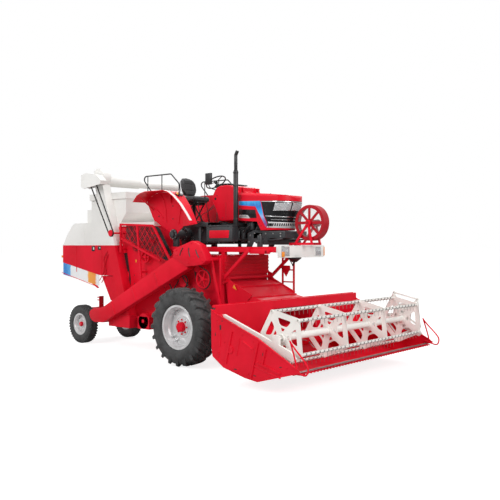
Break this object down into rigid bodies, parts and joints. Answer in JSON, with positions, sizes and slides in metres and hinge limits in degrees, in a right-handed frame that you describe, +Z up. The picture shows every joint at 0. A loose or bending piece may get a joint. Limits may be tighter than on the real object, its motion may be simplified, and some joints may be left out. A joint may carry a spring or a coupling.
{
  "type": "tractor-mounted combine harvester",
  "caption": "Combine harvester built round a farm tractor: wheeled thresher with tined reel, cutting table, grain tank and straw hood.",
  "frame": {"origin": "on the ground below the middle of the machine's length and width", "axes": "+X forward towards the cutting table, +Y to the machine's left, +Z up"},
  "size_m": [7.674, 3.836, 3.7149],
  "materials": {
    "red_paint": "gloss enamel",
    "dark_red_paint": "gloss enamel",
    "white_paint": "semi-gloss enamel",
    "silver_paint": "satin silver",
    "charcoal_paint": "satin dark grey",
    "black_paint": "semi-gloss black",
    "steel": "bright steel",
    "tyre_rubber": "matte",
    "belt_rubber": "matte",
    "seat_cover": "grained vinyl",
    "skirt_sheet": "flexible pale sheet",
    "black_plastic": "gloss",
    "lamp_glass": "clear lens"
  },
  "bodies": {
    "chassis": {"chassis_frame": "red_paint", "drive_axle": "red_paint", "rear_axle": "red_paint", "thresher_body": "red_paint", "straw_hood_lower": "red_paint", "straw_hood_top": "white_paint", "straw_skirt": "skirt_sheet", "grain_tank": "white_paint", "elevator_leg_lower": "red_paint", "elevator_leg_upper": "white_paint", "cross_auger_tube": "white_paint", "returns_elevator": "red_paint", "side_guard": "red_paint", "side_pulleys": "red_paint", "drive_belts": "belt_rubber", "access_ladder": "red_paint", "throat_cover": "red_paint", "mount_frame": "red_paint", "light_bar": "white_paint", "lamps": "lamp_glass", "tractor_housing": "charcoal_paint", "engine_block": "charcoal_paint", "cowl": "red_paint", "fenders": "red_paint", "fender_rails": "black_paint", "seat_frame": "black_paint", "seat_cushions": "seat_cover", "steering_column": "black_plastic", "exhaust": "black_paint", "battery_box": "charcoal_paint"},
    "header": {"header_platform": "red_paint", "header_sides": "red_paint", "divider_loops": "red_paint", "feeder_house": "red_paint", "cutter_bar": "red_paint"},
    "auger": {"table_auger": "red_paint"},
    "reel_carrier": {"reel_arms": "white_paint"},
    "reel": {"reel_frame": "white_paint"},
    "reel_control": {"reel_ring": "white_paint"},
    "ram_barrels": {"lift_barrels": "red_paint"},
    "ram_rods": {"lift_rods": "steel"},
    "bonnet": {"bonnet_shell": "red_paint", "bonnet_grille": "black_plastic"},
    "rotor": {"front_rotor": "dark_red_paint"},
    "steer_left": {"knuckle_left": "red_paint"},
    "steer_right": {"knuckle_right": "red_paint"},
    "track_rod": {"tie_rod": "steel"},
    "drive_wheel_left": {"drive_tyre_left": "tyre_rubber", "drive_rim_left": "silver_paint"},
    "drive_wheel_right": {"drive_tyre_right": "tyre_rubber", "drive_rim_right": "silver_paint"},
    "steer_wheel_left": {"steer_tyre_left": "tyre_rubber", "steer_rim_left": "silver_paint"},
    "steer_wheel_right": {"steer_tyre_right": "tyre_rubber", "steer_rim_right": "silver_paint"},
    "bat_1": {"reel_bat_1": "white_paint"},
    "bat_2": {"reel_bat_2": "white_paint"},
    "bat_3": {"reel_bat_3": "white_paint"},
    "bat_4": {"reel_bat_4": "white_paint"},
    "bat_5": {"reel_bat_5": "white_paint"}
  },
  "joints": [
    {"name": "header_lift", "type": "hinge", "parent": "chassis", "child": "header", "pos_m": [1.0825, 0, 1.5], "axis": [0, -1, 0], "range_deg": [-2.5, 17]},
    {"name": "ram_swing", "type": "hinge", "parent": "chassis", "child": "ram_barrels", "pos_m": [0.8825, 0, 0.62], "axis": [0, -1, 0], "range_deg": [-2.45, 13.77]},
    {"name": "ram_stroke", "type": "slide", "parent": "ram_barrels", "child": "ram_rods", "axis": [0.9952, 0, -0.0982], "range_m": [-0.0404, 0.2632]},
    {"name": "reel_lift", "type": "hinge", "parent": "header", "child": "reel_carrier", "pos_m": [2.1825, 0, 1.02], "axis": [0, -1, 0], "range_deg": [0, 18]},
    {"name": "reel_spin", "type": "hinge", "parent": "reel_carrier", "child": "reel", "pos_m": [3.2125, 0, 0.775], "axis": [0, 1, 0], "continuous": true},
    {"name": "reel_control_spin", "type": "hinge", "parent": "reel_carrier", "child": "reel_control", "pos_m": [3.2125, 0, 0.865], "axis": [0, 1, 0], "continuous": true},
    {"name": "bat_1_turn", "type": "hinge", "parent": "reel", "child": "bat_1", "pos_m": [3.55891, 0, 0.575], "axis": [0, 1, 0], "continuous": true},
    {"name": "bat_2_turn", "type": "hinge", "parent": "reel", "child": "bat_2", "pos_m": [3.50976, 0, 1.04265], "axis": [0, 1, 0], "continuous": true},
    {"name": "bat_3_turn", "type": "hinge", "parent": "reel", "child": "bat_3", "pos_m": [3.04981, 0, 1.14042], "axis": [0, 1, 0], "continuous": true},
    {"name": "bat_4_turn", "type": "hinge", "parent": "reel", "child": "bat_4", "pos_m": [2.81469, 0, 0.73319], "axis": [0, 1, 0], "continuous": true},
    {"name": "bat_5_turn", "type": "hinge", "parent": "reel", "child": "bat_5", "pos_m": [3.12934, 0, 0.38374], "axis": [0, 1, 0], "continuous": true},
    {"name": "auger_spin", "type": "hinge", "parent": "header", "child": "auger", "pos_m": [2.4435, 0, 0.566], "axis": [0, 1, 0], "continuous": true},
    {"name": "rotor_spin", "type": "hinge", "parent": "chassis", "child": "rotor", "pos_m": [2.5025, 0, 2.44], "axis": [0, 1, 0], "continuous": true},
    {"name": "bonnet_lift", "type": "hinge", "parent": "chassis", "child": "bonnet", "pos_m": [1.1525, 0, 3.078], "axis": [0, -1, 0], "range_deg": [0, 45]},
    {"name": "steer_left_turn", "type": "hinge", "parent": "chassis", "child": "steer_left", "pos_m": [-3.0675, 0.41, 0.54], "axis": [0, 0, 1], "range_deg": [-30, 30]},
    {"name": "steer_right_turn", "type": "hinge", "parent": "chassis", "child": "steer_right", "pos_m": [-3.0675, -0.41, 0.54], "axis": [0, 0, 1], "range_deg": [-30, 30]},
    {"name": "track_rod_turn", "type": "hinge", "parent": "steer_left", "child": "track_rod", "pos_m": [-3.2575, 0.41, 0.47], "axis": [0, 0, 1], "range_deg": [-30, 30]},
    {"name": "drive_spin_left", "type": "hinge", "parent": "chassis", "child": "drive_wheel_left", "pos_m": [0.5825, 1.08, 0.675], "axis": [0, 1, 0], "continuous": true},
    {"name": "drive_spin_right", "type": "hinge", "parent": "chassis", "child": "drive_wheel_right", "pos_m": [0.5825, -1.08, 0.675], "axis": [0, 1, 0], "continuous": true},
    {"name": "steer_spin_left", "type": "hinge", "parent": "steer_left", "child": "steer_wheel_left", "pos_m": [-3.0675, 0.6, 0.405], "axis": [0, 1, 0], "continuous": true},
    {"name": "steer_spin_right", "type": "hinge", "parent": "steer_right", "child": "steer_wheel_right", "pos_m": [-3.0675, -0.6, 0.405], "axis": [0, 1, 0], "continuous": true}
  ],
  "couplings": [
    {"joint": "ram_swing", "follows": "header_lift", "ratio": 0.78081},
    {"joint": "ram_stroke", "follows": "header_lift", "m_per_rad": 0.88037},
    {"joint": "reel_control_spin", "follows": "reel_spin", "ratio": 1},
    {"joint": "steer_right_turn", "follows": "steer_left_turn", "ratio": 1},
    {"joint": "track_rod_turn", "follows": "steer_left_turn", "ratio": -1},
    {"joint": "bat_1_turn", "follows": "reel_spin", "ratio": -1},
    {"joint": "bat_2_turn", "follows": "reel_spin", "ratio": -1},
    {"joint": "bat_3_turn", "follows": "reel_spin", "ratio": -1},
    {"joint": "bat_4_turn", "follows": "reel_spin", "ratio": -1},
    {"joint": "bat_5_turn", "follows": "reel_spin", "ratio": -1}
  ]
}
